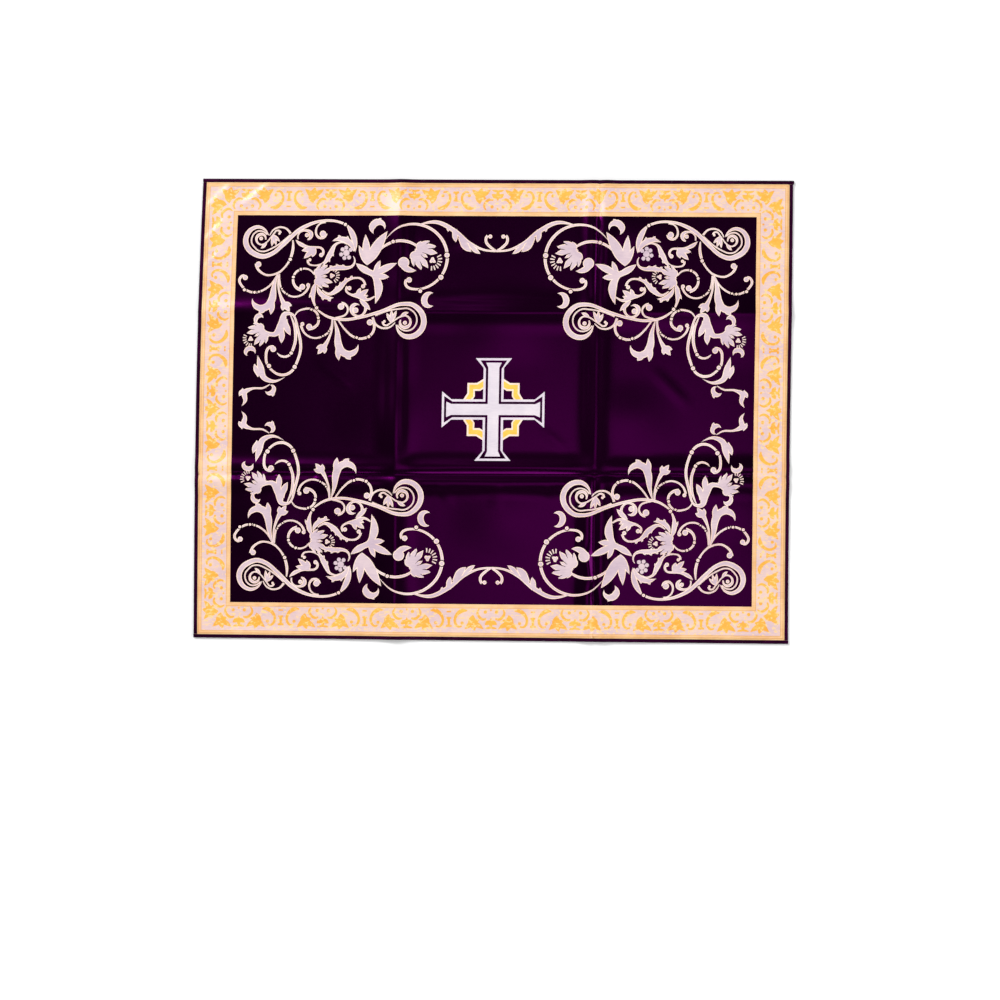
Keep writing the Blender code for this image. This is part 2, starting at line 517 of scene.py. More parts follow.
def carnation(pen):
    """A half-open flower: two fans of petals parted by slits, a heart and a ring of stamens."""
    for side in (1, -1):
        for angle, length, width in ((96, 8, 5), (68, 12.5, 6.5), (44, 15.5, 7), (24, 16.5, 6)):
            pen.leaf(1.5, side, *polar(1.5, 0, side * angle, length), width)
    pen.leaf(0, 0, 12, 0, 4)
    cutter = pen.cutter()
    for angle, near, far in ((10, 6, 15), (34, 10, 16), (57, 9, 15)):
        for turn in (angle, -angle):
            cutter.ribbon((*polar(0, 0, turn, near), 0.2), (*polar(0, 0, turn, far), 1.5))
    for side in (1, -1):
        pen.ball(15.6, 1.1 * side, 1.4)
    pen.leaf(14.5, 0, 19.2, 0, 3)
    for angle in range(-60, 61, 20):
        pen.ribbon((*polar(15.6, 0, angle, 4.6), 0.9), (*polar(15.6, 0, angle, 8), 1.2))


def scroll_heart(pen):
    """What fills a volute: a spiral, its leaf, a thin arch and a leaf of three lobes."""
    spiral = winding(0, 0, -15, 290, (4.7, 4.4, 4.2, 5, 6.3), (1.2, 2.8, 3.5, 2.4, 1.6))
    crook = winding(16.5, 5, 160, -150, (3.2, 3), (1.6, 2.2))
    pen.ribbon(*spiral, (6, -3.5, 1.5), (10, 1.5, 1.4), *crook)
    pen.ball(18.2, 5, 1.4)
    pen.ball(0, 0, 2.1)
    pen.leaf(5.5, -4, 0, -10, 3.6, bend=-30)
    pen.ribbon(*arc(8.5, 3, 29.5, 5, -140, (1, 1.6, 1.9, 2, 2.4)))
    for tip in ((11, -8), (19, -3), (15.5, -7)):
        pen.leaf(12, 3.5, *tip, 3.8)


def corner_volute(pen):
    """The large volute in the corner and the stem that leaves it."""
    turn = winding(-239, 168, 32, 285, (11, 14.5, 13.5, 13, 18.5), (0.8, 4, 6, 6, 4.6))
    stem = ((-215, 164, 4.5), (-197, 180.5, 4.3), (-179, 187.8, 3), (-162, 188, 2.6), (-154, 185.5, 2.6))
    pen.ribbon(*turn, *stem)
    line = winding(-238, 168, 42, 250, (9.5, 10.2, 8.8, 8.2, 11.3), (1.6,))
    pen.ribbon(*line, (-226, 160.5, 1.6), (-208, 174, 1.6))
    scroll_heart(pen.placed(-237, 170.5))
    pen.beads((-152.7, 184.8, 1.8))


def stem_curls(pen):
    """The curls and the three-lobed leaf that leave the corner's stem."""
    pen.ribbon((-200, 170, 1.6), *winding(-192, 173.5, 178, -245, (8, 5, 5.5, 4.4), (1.6, 2.4, 5, 1.5)))
    pen.ball(-191, 174, 2.4)
    crook = winding(-178.5, 157, 70, -100, (4.7, 4.5), (2.2, 2.8))
    pen.ribbon((-202, 169, 0.6), (-198, 165.5, 4), (-189, 162, 2.6), (-182, 161.8, 2.4), *crook)
    pen.ball(-176, 154.2, 2.4)
    for tip in ((-196, 158.5), (-193.5, 150.5), (-185, 152)):
        pen.leaf(-182.5, 161, *tip, 6)
    pen.ribbon(*winding(-175, 177.5, 75, 255, (9.6, 7.3, 7.1, 3.6), (1.4, 2, 2.8, 3)))
    pen.ball(-175, 175.4, 3.6)


def upper_leaves(pen):
    """The leaves and the clover between the corner's stem and the carnation."""
    pen.leaf(-151, 184, -142, 157, 6.5, bend=-45, foot=0.25)
    leaf = pen.leaf(-143, 158, -165.5, 168, 6.5, bend=112, foot=0.2)
    pen.teeth(leaf, -1, 2, 3.2, 0.45, 0.7)
    crook = winding(-185.5, 148.5, 275, -105, (4.6, 3.7), (1.6, 2.6))
    stem = ((-150, 164, 0), (-155.5, 167, 1.6), (-161, 165.5, 2.6), (-167, 155, 6), (-173, 146, 3.2))
    arch = pen.ribbon(*stem, *crook)
    pen.teeth(arch, 1, 3, 2.8, 0.36, 0.56)
    pen.ball(-187.3, 149.3, 1.8)
    clover = pen.placed(-150.8, 156.3)
    clover.rim = None
    clover.ball(0, 0, 3.6)
    for angle in (37, 92, 138, 196, 250, 302):
        clover.ball(*polar(0, 0, angle, 5.3), 2.3)
    bow = winding(-149, 148.5, 40, -125, (7, 7), (0.8, 3.5))
    frond = pen.ribbon(*bow, (-158, 141.5, 5.5), (-170, 139.5, 2.5))
    pen.teeth(frond, -1, 3, 3, 0.5, 0.85)


def carnation_group(pen):
    """The carnation, its tendril, the curl beside it and the leaves that carry it."""
    carnation(pen.placed(-181.5, 132, turn=5, size=1.05))
    pen.ribbon(*winding(-193.5, 130, 24, 240, (12, 10, 10, 11.2), (1.4, 2.2, 2.5, 3.6)))
    pen.ball(-194, 122.2, 3.3)
    pen.beads((-196, 139.8, 1.5), (-203.3, 132, 1.6))
    crook = winding(-139, 123, 100, -92, (8.5, 8.2), (2, 2.6))
    curl = pen.ribbon((-174, 119, 1.2), (-167, 115, 3), (-158, 120, 6), (-149, 129, 3.6), *crook)
    pen.teeth(curl, 1, 4, 2.8, 0.3, 0.6)
    pen.ball(-133, 123, 2.3)
    pen.ribbon(*arc(-179.5, 127.5, -180, 102, 60, (0.5, 5, 5.4, 3, 1.8)))
    pen.leaf(-183, 119, -187, 111, 3.2)
    pen.beads((-179, 101, 1.9))
    leaf = pen.ribbon(*arc(-179, 123, -162, 111.5, 95, (0.5, 4.5, 5.4, 4, 0)))
    pen.teeth(leaf, -1, 2, 3.2, 0.5, 0.75)


def corner_spray(pen):
    """What hangs below the corner's volute: a curl, a lily, a bell and two tendrils."""
    pen.ribbon(*arc(-205, 169, -217.5, 136.5, -62, (1.2, 3, 2.8, 2, 2.2)))
    pen.ribbon((-217, 137, 2.4), *winding(-229, 146, 293, -110, (12.8, 11.7, 12.2), (2, 2.4, 3.2)))
    pen.beads((-207, 149.7, 1.9))
    pen.ball(-238.7, 144.6, 3.2)
    lily(pen.placed(-218.7, 135))
    bell(pen.placed(-218.2, 135))
    bow = winding(-242, 131, 301, -115, (15, 14.6, 15.4), (2.1, 2.3, 2.8))
    crook = winding(-252.8, 129.3, 160, -75, (4.2, 4), (2.8, 2.6))
    pen.ribbon((-219, 135, 1.5), (-227, 123, 2), *bow, *crook)
    pen.ball(-251.6, 131.3, 2.9)
    pen.beads((-237.4, 117.1, 1.2), (-241.8, 116.5, 1.5), (-252, 119, 1.7))
    bow = winding(-202.5, 126.5, 178, 170, (14.4, 13.6, 14.7, 15.6), (2, 1.9, 1.9, 2.6))
    pen.ribbon((-217.5, 135, 1.6), *bow)
    pen.ball(-188.2, 124, 2.2)
    pen.beads((-214.4, 120.2, 1), (-209.2, 114.9, 1))


def field_volute(pen):
    """The second volute, nearer the middle, and the long stem that runs to it."""
    turn = winding(-86.5, 88.5, 108, -270, (17.7, 15, 15.7, 16.2, 13), (4.2, 6, 6.5, 5.6, 0.8))
    pen.ribbon((-178, 99, 1.8), (-168, 92.5, 2.6), (-152, 89.5, 3), (-134, 92, 3.1), (-116, 97.2, 3.4), *turn)
    line = winding(-87.5, 89, 206, 274, (11.2, 10.4, 9.2, 10, 13.2), (1.6,))
    pen.ribbon(*line, (-106, 98.7, 1.6), (-120, 93.5, 1.6))
    scroll_heart(pen.placed(-90, 86.5, turn=161, size=1.1))
    pen.ribbon(*winding(-63.5, 109.5, 80, 205, (7.2, 7.6, 8, 6), (0, 5.5, 7.5, 5, 0)))


def field_spray(pen):
    """What hangs below the long stem: a lily, a bell and three beaded tendrils."""
    lily(pen.placed(-161.4, 89.5, flip=-1))
    bell(pen.placed(-162.5, 92, turn=-3, flip=-1))
    pen.ribbon((-163, 90, 1.6), *winding(-178.5, 85.5, -9, -164, (15.2, 14.2, 15, 15.8), (2, 1.9, 1.9, 2.6)))
    pen.ball(-192.8, 84.9, 2.2)
    pen.beads((-166.2, 77.8, 1), (-172, 73, 1))
    bow = winding(-133.5, 83.5, 230, 155, (13.8, 12.7, 13.4, 12.2), (2.4, 2.6, 2.7, 3))
    pen.ribbon((-157, 89, 1.6), (-149, 78.5, 2.1), *bow)
    pen.ball(-125.2, 86.8, 3.4)
    pen.beads((-138.2, 71.6, 1.5), (-126, 72.5, 1.7))
    pen.ribbon(*winding(-188, 89.5, 170, -255, (13.5, 10.8, 11.3, 11.5, 9.4), (1.2, 2.1, 2.4, 2.8, 3.6)))
    pen.ball(-186, 82.2, 3.4)
    pen.beads((-184, 99.4, 1.3), (-177, 91.2, 1.6))


def lotus_group(pen):
    """The tulip, the open lily below it and the claw-shaped leaf above."""
    for leaf in ((-138.5, 164, 6.5), (-132, 175, 9), (-110, 178, 12, -12)):
        pen.leaf(-129.5, 144, *leaf, foot=0)
    pen.ribbon(*winding(-119, 181, 229, -243, (7.4, 6.6, 6.2, 6.2), (0, 7.6, 7.8, 4.6, 0)))
    pen.leaf(-121, 188, -116.5, 191, 3)
    pen.leaf(-122, 135, -141, 146, 7.5, bend=-20, foot=1)
    pen.leaf(-122, 136, -116.5, 149, 6, foot=0.8)
    pen.leaf(-123, 134.5, -99.5, 146, 8, bend=-10, foot=0.8)
    pen.leaf(-122, 133.5, -107, 132.3, 7, foot=0.8)
    pen.ribbon((-129, 138, 2), (-121.5, 132.5, 6), (-117.5, 122.5, 9.5), (-118, 114, 6.5), (-120.5, 105.5, 0))


def inner_curls(pen):
    """The leafy curls between the open lily and the long stem."""
    crook = winding(-146, 119.5, 235, -105, (3.8, 4.2), (2.2, 2.4))
    pen.ribbon((-121, 113, 1.5), (-128, 109.5, 3), (-137.5, 114, 7), (-143, 114, 3), *crook)
    pen.ball(-146.8, 121, 2.4)
    pen.leaf(-139, 113, -135.5, 121.5, 5)
    pen.leaf(-138, 112, -127.5, 120, 6)
    pen.leaf(-136, 111, -127.5, 114, 4)
    pen.leaf(-136, 109.5, -125, 99, 5.5, bend=-10, foot=0.2)
    hook = winding(-138, 99.5, 25, -320, (8.8, 7, 6, 6.2, 5), (3.4, 2, 3, 5, 0))
    pen.ribbon((-134, 108.5, 2.4), *hook)
    pen.ball(-139.8, 98.8, 3.2)
    pen.ribbon((-160, 91.5, 1), *winding(-154.5, 99.5, -80, 168, (7, 7, 6.5), (2, 2, 3)))
    pen.ball(-154.5, 102.6, 3.7)


def bead_ring(pen):
    """The beaded ring beside the garland, with the carnation and the comma in it."""
    ring = winding(-83, 151, 146, -230, (34.5, 34.5, 34, 34, 33, 31), (0.5, 2.6, 3.2, 3.4, 2.8, 2.4))
    pen.ribbon(*ring, *winding(-85.5, 126.7, 245, -100, (5.3, 5), (2.8, 3)))
    pen.ball(-86.9, 129.4, 3.1)
    for angle, radius in ((6, 2.9), (-34, 2.9), (-77, 2.1)):
        turn = math.radians(angle)
        pen.beads((-83 + 33.6 * math.cos(turn), 151 + 33.4 * math.sin(turn), radius))
    pen.ribbon(*arc(-121, 154.5, -77, 161.5, -98, (0.5, 2.7, 3, 3.1, 2)))
    pen.beads((-104, 167.6, 2))
    carnation(pen.placed(-82, 160, turn=-31, size=1.3))
    pen.ball(-92.8, 146.5, 6.3)
    pen.ribbon(*arc(-94, 144, -80, 139, 55, (6, 7, 5, 0)))


def garland(pen):
    """The leafy garland that meets its mirror image at the top of the middle."""
    pen.ribbon(
        (-78, 185, 1), (-61, 187.5, 4), (-43, 179, 5), (-27, 166.5, 3.6), (-12, 159.8, 2.3), (0, 158.7, 2.2)
    )
    pen.leaf(-49, 184, -49, 178, 4)
    pen.leaf(-43, 180, -41, 167.5, 6.5, foot=1)
    pen.leaf(-36, 173, -25, 158, 8.5, bend=42, foot=0.8)
    pen.leaf(-27, 166, -16, 156, 5.5, bend=30, foot=0.8)
    pen.ribbon((0, 159, 1.4), (-6.5, 163, 3), *winding(-5, 170, 195, -60, (6, 6), (3, 3)))
    pen.ball(-6.6, 173.3, 2.3)


def side_group(pen):
    """The hooked leaf, the carnation and the double stem down the side."""
    pen.ribbon(*winding(-235, 89, 262, -235, (5.9, 4.6, 4.2, 3.4), (0.8, 4.5, 5.5, 0)))
    pen.ribbon(
        (-235, 83, 0.8), (-229, 76.5, 3), (-220.5, 74.5, 5.5), (-213.5, 84, 9), (-210, 95, 5),
        (-204.5, 95, 3), (-197, 78, 3.2), (-194, 60, 3), (-198.5, 44, 2.8),
    )
    pen.leaf(-214, 81, -213.5, 65.5, 7, bend=-15, foot=1)
    pen.leaf(-211, 89, -204.5, 73.5, 7, bend=15, foot=1)
    pen.leaf(-220, 75.5, -227, 73, 4)
    bow = winding(-210, 60.5, -10, -115, (8.2, 8.6), (3, 2))
    pen.ribbon((-205, 94, 1), (-200, 80, 3), (-199.8, 66, 3.2), *bow, (-217.5, 56, 0.5))
    pen.beads((-203.4, 55.8, 1.9))
    ring = winding(-212.5, 49, -20, -172, (15, 15.3, 14.4, 16.4), (2.8, 3, 2.4, 2.8))
    pen.ribbon(*ring, *winding(-222.5, 56.5, 145, -70, (5.6, 5.7), (3, 3)))
    pen.ball(-221.4, 59.7, 3.3)
    pen.beads((-199.6, 42, 2.3), (-225.4, 42.8, 2.4))
    carnation(pen.placed(-230, 79, turn=213, size=1.05))
    pen.ribbon(*winding(-245, 56, -12, 250, (5.7, 4.2, 3.8), (0, 5, 5.5, 4, 0)))


def side_leaves(pen):
    """The leaf under the side's ring, the bud, and the scroll that meets its mirror image."""
    pen.ribbon((-237, 53.5, 0), (-234, 42, 7), (-230, 31, 6), (-221.5, 27.5, 3.5), (-208.5, 32, 0))
    pen.leaf(-234.5, 33, -240, 45, 6, bend=-25, foot=0.9)
    pen.ribbon(
        (-224, 24.5, 0.8), (-230, 21, 1.9), (-242, 20, 2.6), (-249.5, 16, 6), (-248.5, 8, 4), (-252, 2.5, 0)
    )
    pen.leaf(-250, 19, -254.5, 12.5, 5, bend=30, foot=0.9)
    pen.ribbon(*winding(-225, 20.5, 64, -206, (3.7, 5.2, 5.2, 4.8), (0.5, 5, 5.5, 0)))
    pen.leaf(-220.5, 18, -221.2, 12, 4)


def cross(chart):
    """A quarter of the cross and of the stepped ring behind it."""
    ring_outer = [(-9.6, 31.1), (-16.7, 26.6), (-26.1, 26.6), (-26.1, 16.3), (-30.1, 10)]
    ring_inner = [(-20.6, 10), (-18.5, 13.4), (-18.7, 18.7), (-13.4, 18.7), (-9.6, 21)]
    chart.patch("ring rim", ring_outer + ring_inner)
    core_outer = [(-9.6, 29), (-16.2, 24.9), (-24.3, 24.9), (-24.3, 15.8), (-28, 10)]
    core_inner = [(-22.8, 10), (-20.1, 13), (-20.2, 20.4), (-13.8, 20.4), (-9.6, 22.8)]
    chart.patch("ring", core_outer + core_inner)
    for paint, arm, end, flare, tip in (
        # half width of the arm, its reach, where it starts to flare, half width at its end
        ("cross rim", 10.2, 51.4, 41.8, 18.2),
        ("cross gap", 7.9, 49.2, 40.8, 13.4),
        ("cross", 5.5, 47, 42, 7.8),
    ):
        upright = [(0, 0), (0, end), (-tip, end), (-arm, flare), (-arm, arm)]
        level = [(-flare, arm), (-end, tip), (-end, 0)]
        chart.patch(paint, upright + level)


def border_palmette(pen):
    """Right half of the border's palmette and the leaf beside it, y being the distance inwards."""
    pen.ribbon((0, -20.5, 0), (0, -16.5, 3.6), (0, -9.6, 1.8))
    pen.ribbon((0.4, -17, 1.8), (3.2, -15.2, 4.5), (6, -13.4, 0.9))
    pen.ribbon((0, -10.4, 1.8), (3.4, -10, 2.2), (5.8, -9.4, 0.7))
    pen.ball(0, -28, 1.1)
    pen.ribbon((4.4, -19.4, 1.6), (8.2, -18.6, 2.7), (11.8, -21.2, 2.7), (13.6, -25, 2.5), (11.6, -29.4, 1.1))
    pen.ball(5.6, -26, 1.8)
    pen.ribbon((17.8, -23.4, 0), (18.6, -17.5, 8.4), (17.4, -12, 6.7), (16.2, -7.4, 1.1))
    pen.ribbon((18, -16.5, 5.6), (22, -12.4, 4.9), (26.2, -8.8, 0.4))
    pen.ribbon((17, -14.5, 5.6), (11.6, -12, 4.5), (7.6, -9, 0.7))
    pen.ribbon((17, -16.5, 4.9), (13.6, -17.4, 3.4), (11.6, -17.8, 0.7))


def border_vase(pen):
    """The border's large scroll and half of its vase, to the right of the palmette."""
    pen.ball(28.8, -14.8, 1.7)
    pen.ribbon(
        (29, -11.8, 1.6), (32.2, -11, 2.2), (35.2, -13.6, 2.6), (36.2, -17.8, 2.7), (33.8, -23.6, 3.4),
        (28.2, -27.4, 4), (23.6, -27.2, 1.1),
    )
    pen.ribbon((39.2, -11.6, 2), (42.1, -12, 2.7))
    pen.ribbon((42.1, -12, 2.2), (42.1, -19, 3.1))
    pen.ribbon((39.6, -19.8, 1.8), (42.1, -19.8, 2.2))
    pen.ribbon((39.8, -26.2, 1.7), (42.1, -26.2, 1.7))


def border(chart):
    """The border's figures in the quarter: units along the top and down the side."""
    pen = Pen(chart, rim=None, fill="gold", weight=1.0)
    top = HALF_HEIGHT / SQUARE - CHART_UP / 2 - FIGURES_IN
    left = -HALF_WIDTH / SQUARE + FIGURES_IN
    top_row = [(-UNIT * count, top) for count in range(TOP_UNITS)]
    side_row = [(left, along) for along in SIDE_PALMETTES]
    for turn, row in ((0, top_row), (90, side_row)):
        for place in row:
            for flip in (1, -1):
                unit = pen.placed(*place, turn=turn, flip=flip)
                if (place, flip) != (top_row[0], 1):
                    border_palmette(unit)
                if (place, flip) not in ((row[0], 1), (row[-1], -1)):
                    border_vase(unit)


def woven_chart():
    """The chart with all that is drawn on it."""
    chart = Chart()
    border(chart)
    pen = Pen(chart)
    for draw in (
        corner_volute, stem_curls, upper_leaves, carnation_group, corner_spray, field_volute, field_spray,
        lotus_group, inner_curls, bead_ring, garland, side_group, side_leaves,
    ):
        draw(pen)
    cross(chart)
    return chart


def stations(edge, creases):
    """Grid places from edge to edge, closer together near the creases and the edges."""
    half = edge + PANEL_INSET
    places = {-edge, edge} | {sign * (half - step) for sign in (-1, 1) for step in EDGE_STEPS}
    for middle, _, _ in creases:
        steps = math.ceil(CREASE_REACH / CREASE_STEP)
        places.update(middle + CREASE_STEP * step for step in range(-steps, steps + 1))
    places = sorted(places)
    filled = [places[0]]
    for place in places[1:]:
        start = filled[-1]
        parts = max(1, math.ceil((place - start) / GRID_STEP - 1e-6))
        filled += [start + (place - start) * part / parts for part in range(1, parts + 1)]
    return [round(place / SQUARE, PLACE_DIGITS) for place in filled]


def rectangle(half_across, half_along):
    """Corners of a rectangle about the cloth's middle, closed."""
    corners = [(-1, -1), (1, -1), (1, 1), (-1, 1), (-1, -1)]
    return [(x * half_across, y * half_along) for x, y in corners]


def divided(line):
    """A line broken up so that it can follow the cloth's folds."""
    points = [line[0]]
    for start, end in zip(line, line[1:]):
        parts = max(1, math.ceil(math.dist(start, end) / LONGEST_LINE))
        for part in range(1, parts + 1):
            share = part / parts
            points.append(tuple(a + (b - a) * share for a, b in zip(start, end)))
    return points


def paint_of(x, y, paint_at):
    """The yarn that shows at a place on the cloth, in squares."""
    paint = paint_at(-abs(x), abs(y - CHART_UP))
    if paint:
        return PAINTS[paint]
    inside = min(HALF_WIDTH / SQUARE - abs(x), HALF_HEIGHT / SQUARE - abs(y))
    for end, yarn in BORDER:
        if inside < end:
            return yarn
    return "satin"


def pattern_triangles(chart, columns, rows):
    """Points and triangles of the panel's face, in squares, with the yarn of each triangle."""
    points = [Vector((x, y)) for y in rows for x in columns]
    edges = []
    lines = [rectangle(HALF_WIDTH / SQUARE - end, HALF_HEIGHT / SQUARE - end) for end, _ in BORDER]
    for across in (1, -1):
        for along in (1, -1):
            lines += [[(across * x, along * y + CHART_UP) for x, y in line] for line in chart.lines]
    for line in map(divided, lines):
        first = len(points)
        points += [Vector(point) for point in line]
        edges += [(first + step, first + step + 1) for step in range(len(line) - 1)]
    made = delaunay_2d_cdt(points, edges, [], 0, 1e-4, False)
    points = [tuple(point) for point in made[0]]
    triangles = [tuple(face) for face in made[2]]
    paint_at = chart.finder()
    yarns = []
    for triangle in triangles:
        middle = [sum(points[corner][axis] for corner in triangle) / 3 for axis in (0, 1)]
        yarns.append(paint_of(*middle, paint_at))
    return points, triangles, yarns


def panel_heights(points, triangles, yarns):
    """Where each point of the panel's face lies, figures standing proud of the ground."""
    low = {corner for triangle, yarn in zip(triangles, yarns) if yarn not in RAISED for corner in triangle}
    ups = [CLOTH if index in low else CLOTH + RELIEF for index in range(len(points))]
    return [place_on_cloth(x, y, up) for (x, y), up in zip(points, ups)]


def place_on_cloth(x, y, up):
    """Where a place in squares lies, at a height above the panel's underside."""
    across, along = x * SQUARE, y * SQUARE
    height = rise(across, along) + edge_lift(across, along) + wrinkle_rise(across, along)
    return *lie(across, along), height + up


def ring_of(columns, rows):
    """Indices (column, row) round the edge of a grid, in order."""
    last_column = len(columns) - 1
    last_row = len(rows) - 1
    ring = [(column, 0) for column in range(last_column)]
    ring += [(last_column, row) for row in range(last_row)]
    ring += [(column, last_row) for column in range(last_column, 0, -1)]
    ring += [(0, row) for row in range(last_row, 0, -1)]
    return ring


def woven_panel(materials):
    """The panel as one closed mesh: the patterned face, the plain back and the cut edge."""
    columns = stations(HALF_WIDTH - PANEL_INSET, UPRIGHT_CREASES)
    rows = stations(HALF_HEIGHT - PANEL_INSET, LEVEL_CREASES)
    points, faces, yarns = pattern_triangles(woven_chart(), columns, rows)
    places = panel_heights(points, faces, yarns)
    face_at = {(round(x, PLACE_DIGITS), round(y, PLACE_DIGITS)): index for index, (x, y) in enumerate(points)}
    back = len(places)
    places += [place_on_cloth(x, y, 0.0) for y in rows for x in columns]
    wide = len(columns)
    for row in range(len(rows) - 1):
        for column in range(wide - 1):
            corner = back + row * wide + column
            faces.append((corner, corner + wide, corner + wide + 1, corner + 1))
    rim = []
    for column, row in ring_of(columns, rows):
        rim.append((back + row * wide + column, face_at[columns[column], rows[row]]))
    for (low, high), (next_low, next_high) in zip(rim, rim[1:] + rim[:1]):
        faces.append((low, next_low, next_high, high))
    yarns += ["back"] * (len(faces) - len(yarns))
    mesh = bpy.data.meshes.new("woven_panel")
    mesh.from_pydata(places, [], faces)
    for yarn in YARNS:
        mesh.materials.append(materials[yarn])
    mesh.polygons.foreach_set("material_index", [YARNS.index(yarn) for yarn in yarns])
    mesh.shade_smooth()
    mark_figure_edges(mesh)
    return add_object("woven_panel", mesh)


def mark_figure_edges(mesh):
    """Keeps the shading of the ground apart from that of the figures' sides and tops."""
    kinds = {YARNS.index(yarn): 1 for yarn in RAISED}
    kinds[YARNS.index("rim")] = 2
    kinds[YARNS.index("back")] = 3
    shape = bmesh.new()
    shape.from_mesh(mesh)
    for edge in shape.edges:
        if len({kinds.get(face.material_index, 0) for face in edge.link_faces}) > 1:
            edge.smooth = False
    shape.to_mesh(mesh)
    shape.free()


def add_object(name, data):
    """An object in the scene for a mesh, a light or a camera."""
    made = bpy.data.objects.new(name, data)
    bpy.context.collection.objects.link(made)
    return made


class Shader:
    """A Principled material that is put together from texture nodes."""

    def __init__(self, name, colour, roughness, values):
        self.material = bpy.data.materials.new(name)
        self.material.use_nodes = True
        self.tree = self.material.node_tree
        self.surface = self.tree.nodes["Principled BSDF"]
        looks = {"Base Color": (*colour, 1.0), "Roughness": roughness, **values}
        for label, value in looks.items():
            self.give(label, value)
        self.place = self.node("ShaderNodeTexCoord").outputs["Object"]

    def node(self, kind, **inputs):
        """A node with values or links on its inputs."""
        made = self.tree.nodes.new(kind)
        for label, value in inputs.items():
            self.set(made.inputs[label.replace("_", " ").title()], value)
        return made

    def give(self, label, value):
        """Gives the surface a value or a link."""
        self.set(self.surface.inputs[label], value)

    def set(self, socket, value):
        """Links a socket, or gives it a value."""
        if isinstance(value, bpy.types.NodeSocket):
            self.tree.links.new(value, socket)
        else:
            socket.default_value = value

    def stretched(self, scale):
        """The object's coordinates, scaled apart."""
        return self.node("ShaderNodeMapping", vector=self.place, scale=scale).outputs["Vector"]

    def noise(self, scale, vector=None, detail=3.0):
        """A noise value."""
        made = self.node("ShaderNodeTexNoise", vector=vector or self.place, scale=scale, detail=detail)
        return made.outputs["Fac"]

    def ramp(self, value, stops):
        """Colours by value, stops being two of (place, colour)."""
        made = self.node("ShaderNodeValToRGB", fac=value)
        for element, (place, colour) in zip(made.color_ramp.elements, stops):
            element.position = place
            element.color = (*colour, 1.0)
        return made.outputs["Color"]

    def mixed(self, share, one, two):
        """One colour going over to another."""
        made = self.tree.nodes.new("ShaderNodeMix")
        made.data_type = "RGBA"
        self.set(made.inputs[0], share)
        self.set(made.inputs[6], one)
        made.inputs[7].default_value = (*two, 1.0)
        return made.outputs[2]

    def waves(self, pitch, direction):
        """Even ribs a given distance apart."""
        scale = math.tau / 20 / pitch
        made = self.node("ShaderNodeTexWave", vector=self.place, scale=scale, distortion=0.6)
        made.bands_direction = direction
        return made.outputs["Fac"]

    def weighted(self, *terms):
        """The sum of (value, weight) terms."""
        total = 0.0
        for value, weight in terms:
            made = self.tree.nodes.new("ShaderNodeMath")
            made.operation = "MULTIPLY_ADD"
            for socket, part in zip(made.inputs, (value, weight, total)):
                self.set(socket, part)
            total = made.outputs[0]
        return total

    def bump(self, height, distance, strength):
        """Raises the surface by a height texture."""
        made = self.node("ShaderNodeBump", height=height, distance=distance, strength=strength)
        self.give("Normal", made.outputs["Normal"])


def srgb(red, green, blue):
    """A colour given as on a screen, in the linear values that shaders take."""
    return tuple((value / 255.0) ** 2.2 for value in (red, green, blue))


def yarn_material(name, dark, light, roughness, gloss=0.5, flecks=None):
    """A yarn: fine ribs, slubs along them, a little variation of colour and odd flecks."""
    shader = Shader(name, srgb(*light), roughness, {"Specular IOR Level": gloss})
    slubs = shader.noise(1.0, shader.stretched((160.0, 1400.0, 300.0)))
    shade = shader.weighted((slubs, 0.4), (shader.noise(38.0), 0.6))
    colour = shader.ramp(shade, ((0.36, srgb(*dark)), (0.62, srgb(*light))))
    if flecks:
        picks = shader.noise(1.0, shader.stretched((300.0, 420.0, 300.0)), detail=2.0)
        share = shader.ramp(picks, ((0.55, (0.0, 0.0, 0.0)), (0.66, (1.0, 1.0, 1.0))))
        colour = shader.mixed(share, colour, srgb(*flecks))
    shader.give("Base Color", colour)
    shader.bump(shader.weighted((shader.waves(YARN_PITCH, "Y"), 1.0), (slubs, 0.5)), 0.00005, 0.5)
    return shader.material


def satin_material():
    """Dark purple satin with a soft purple gloss, and painted sheen that makes it lighter in broad patches
    and in the middle.
    """
    gloss = {"Specular IOR Level": 0.55, "Specular Tint": (*srgb(225, 24, 216), 1.0)}
    shader = Shader("satin_ground", srgb(20, 0, 20), 0.23, gloss)
    floats = shader.noise(1.0, shader.stretched((1500.0, 120.0, 300.0)))
    # Painted sheen: the broad patches and the spherical gradient lighten the base colour where the satin's
    # sheen falls, lightest in the middle.
    painted_sheen_patches = shader.noise(7.0, detail=2.0)
    middle = shader.node("ShaderNodeTexGradient", vector=shader.stretched((3.0, 4.4, 1.0)))
    middle.gradient_type = "SPHERICAL"
    shade = shader.weighted((floats, 0.25), (painted_sheen_patches, 0.45), (middle.outputs["Fac"], 0.30))
    colour = shader.ramp(shade, ((0.32, srgb(3, 0, 3)), (0.66, srgb(15, 0, 13))))
    shader.give("Base Color", colour)
    shader.bump(shader.weighted((shader.waves(SATIN_PITCH, "X"), 0.4), (floats, 1.0)), 0.00003, 0.25)
    return shader.material


def panel_materials():
    """The materials of the panel by yarn."""
    yarns = {yarn: yarn_material(*looks) for yarn, looks in YARN_LOOKS.items()}
    return {"satin": satin_material(), **yarns}


def binding_material():
    """Dark purple twill of the binding."""
    gloss = {"Specular IOR Level": 0.4, "Specular Tint": (*srgb(200, 60, 165), 1.0)}
    shader = Shader("binding_twill", srgb(24, 0, 24), 0.5, gloss)
    colour = shader.ramp(shader.noise(60.0), ((0.35, srgb(12, 0, 14)), (0.70, srgb(38, 4, 34))))
    shader.give("Base Color", colour)
    ribs = shader.waves(TWILL_PITCH, "DIAGONAL")
    shader.bump(shader.weighted((ribs, 1.0), (shader.noise(900.0), 0.5)), 0.0001, 0.8)
    return shader.material


